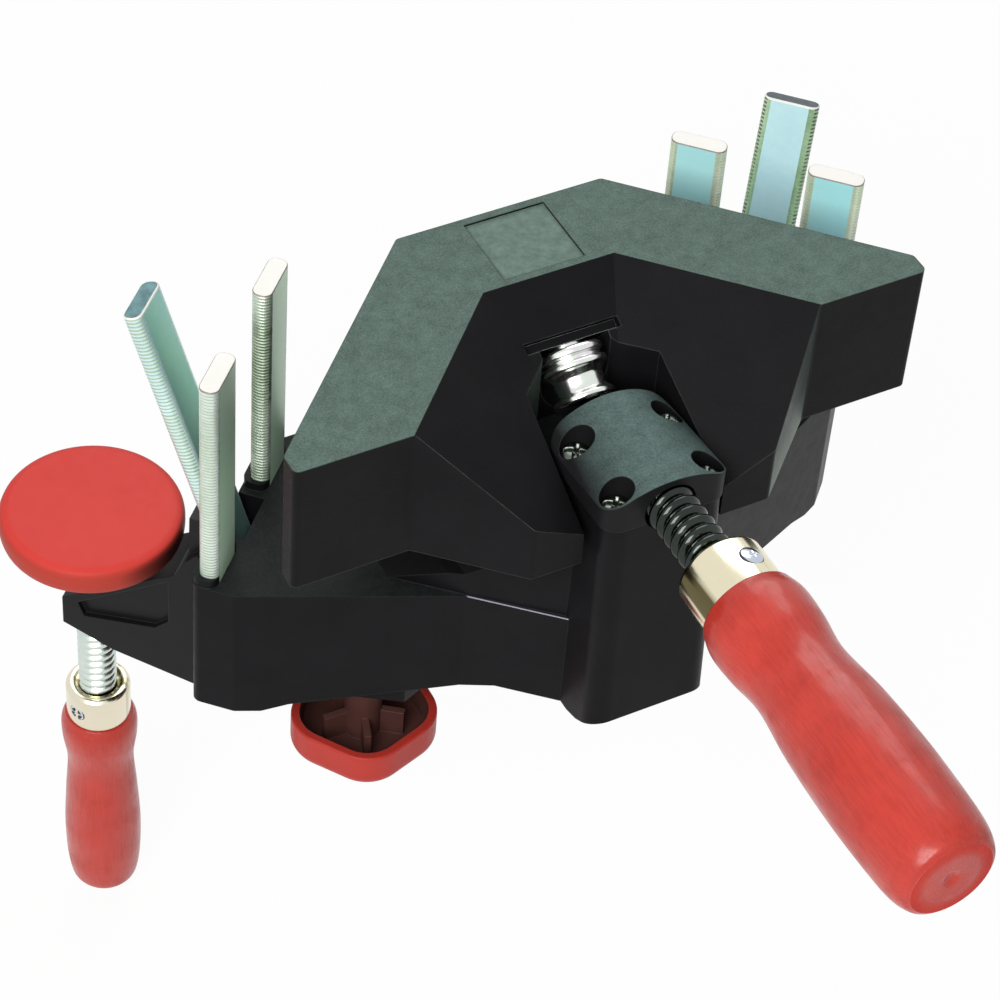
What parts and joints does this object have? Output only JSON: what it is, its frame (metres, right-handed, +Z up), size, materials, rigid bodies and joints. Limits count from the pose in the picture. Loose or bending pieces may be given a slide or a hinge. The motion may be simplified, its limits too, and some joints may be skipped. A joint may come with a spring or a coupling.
{
  "type": "corner clamp",
  "caption": "Right-angle corner clamp: two-winged base with flat steel stops, wedge jaw on a ball-ended hand spindle, and a screw table clamp with a round pad.",
  "frame": {"origin": "on the symmetry plane of the two wings, under the rear edge of the jaw, at the level of the base's underside", "axes": "+X to the right wing, +Y to the outer corner of the joint, away from the main handle, +Z up along the stops"},
  "size_m": [0.2615, 0.2984, 0.2651],
  "materials": {
    "base_plastic": "black glass-filled moulding with a fine grain",
    "jaw_plastic": "dark grey-green glass-filled moulding with a fine grain",
    "cap_plastic": "black moulding, slightly polished on the crown",
    "bracket_plastic": "black glass-filled moulding",
    "bar_zinc": "bluish zinc plate, serrated narrow edges",
    "pin_steel": "plain bright steel",
    "screw_zinc": "bright zinc plate",
    "nut_steel": "plain steel",
    "cup_chrome": "bright chrome",
    "spindle_black": "black oxide with shiny thread crests",
    "ferrule_zinc": "pale yellow zinc plate",
    "rivet_silver": "bright, cross-ended rivet",
    "handle_red": "red lacquered hardwood",
    "pad_red": "red moulding with a satin face",
    "knob_red": "red moulding"
  },
  "bodies": {
    "base": {"base_body": "base_plastic", "bearing_cap": "cap_plastic", "spindle_nut": "nut_steel", "cap_screws": "screw_zinc", "left_front_stop": "bar_zinc", "left_rear_stop": "bar_zinc", "right_front_stop": "bar_zinc", "right_rear_stop": "bar_zinc", "left_pivot_pin": "pin_steel", "right_pivot_pin": "pin_steel", "table_bracket": "bracket_plastic", "bracket_bush": "nut_steel", "knob_insert": "nut_steel"},
    "jaw": {"clamping_jaw": "jaw_plastic", "swivel_cup": "cup_chrome", "cup_plate": "pin_steel"},
    "spindle": {"main_spindle": "spindle_black", "main_ferrule": "ferrule_zinc", "main_rivet": "rivet_silver", "main_handle": "handle_red"},
    "left_stop": {"left_middle_stop": "bar_zinc"},
    "right_stop": {"right_middle_stop": "bar_zinc"},
    "pad": {"table_pad": "pad_red", "pad_retainer": "pin_steel"},
    "table_screw": {"table_spindle": "screw_zinc", "table_ferrule": "ferrule_zinc", "table_rivet": "rivet_silver", "table_handle": "handle_red"},
    "knob_seat": {"knob_washer": "screw_zinc"},
    "knob": {"hand_knob": "knob_red", "knob_stud": "screw_zinc"}
  },
  "joints": [
    {"name": "jaw_slide", "type": "slide", "parent": "base", "child": "jaw", "axis": [0, 1, 0], "range_m": [-0.008, 0.02]},
    {"name": "spindle_turn", "type": "hinge", "parent": "jaw", "child": "spindle", "pos_m": [0, -0.0525, 0.1024], "axis": [0, 1, 0], "range_deg": [-725, 1805]},
    {"name": "left_stop_tilt", "type": "hinge", "parent": "base", "child": "left_stop", "pos_m": [-0.08726, -0.01372, 0.03], "axis": [0.7071, 0.7071, 0], "range_deg": [0, 17.8]},
    {"name": "right_stop_tilt", "type": "hinge", "parent": "base", "child": "right_stop", "pos_m": [0.08429, -0.01075, 0.03], "axis": [0.7071, -0.7071, 0], "range_deg": [0, 17.8]},
    {"name": "table_slide", "type": "slide", "parent": "base", "child": "pad", "axis": [0, 0, 1], "range_m": [-0.001, 0.026]},
    {"name": "table_turn", "type": "hinge", "parent": "pad", "child": "table_screw", "pos_m": [-0.12063, 0.02164, 0.0242], "axis": [0, 0, 1], "range_deg": [-125, 3125]},
    {"name": "knob_slide", "type": "slide", "parent": "base", "child": "knob_seat", "axis": [0, 0, 1], "range_m": [-0.006, 0]},
    {"name": "knob_turn", "type": "hinge", "parent": "knob_seat", "child": "knob", "pos_m": [-0.05869, -0.04031, 0], "axis": [0, 0, 1], "range_deg": [-1735, 5]}
  ],
  "couplings": [
    {"joint": "spindle_turn", "follows": "jaw_slide", "rad_per_m": 1570.8},
    {"joint": "table_turn", "follows": "table_slide", "rad_per_m": 2094.4},
    {"joint": "knob_turn", "follows": "knob_slide", "rad_per_m": 5026.5}
  ]
}
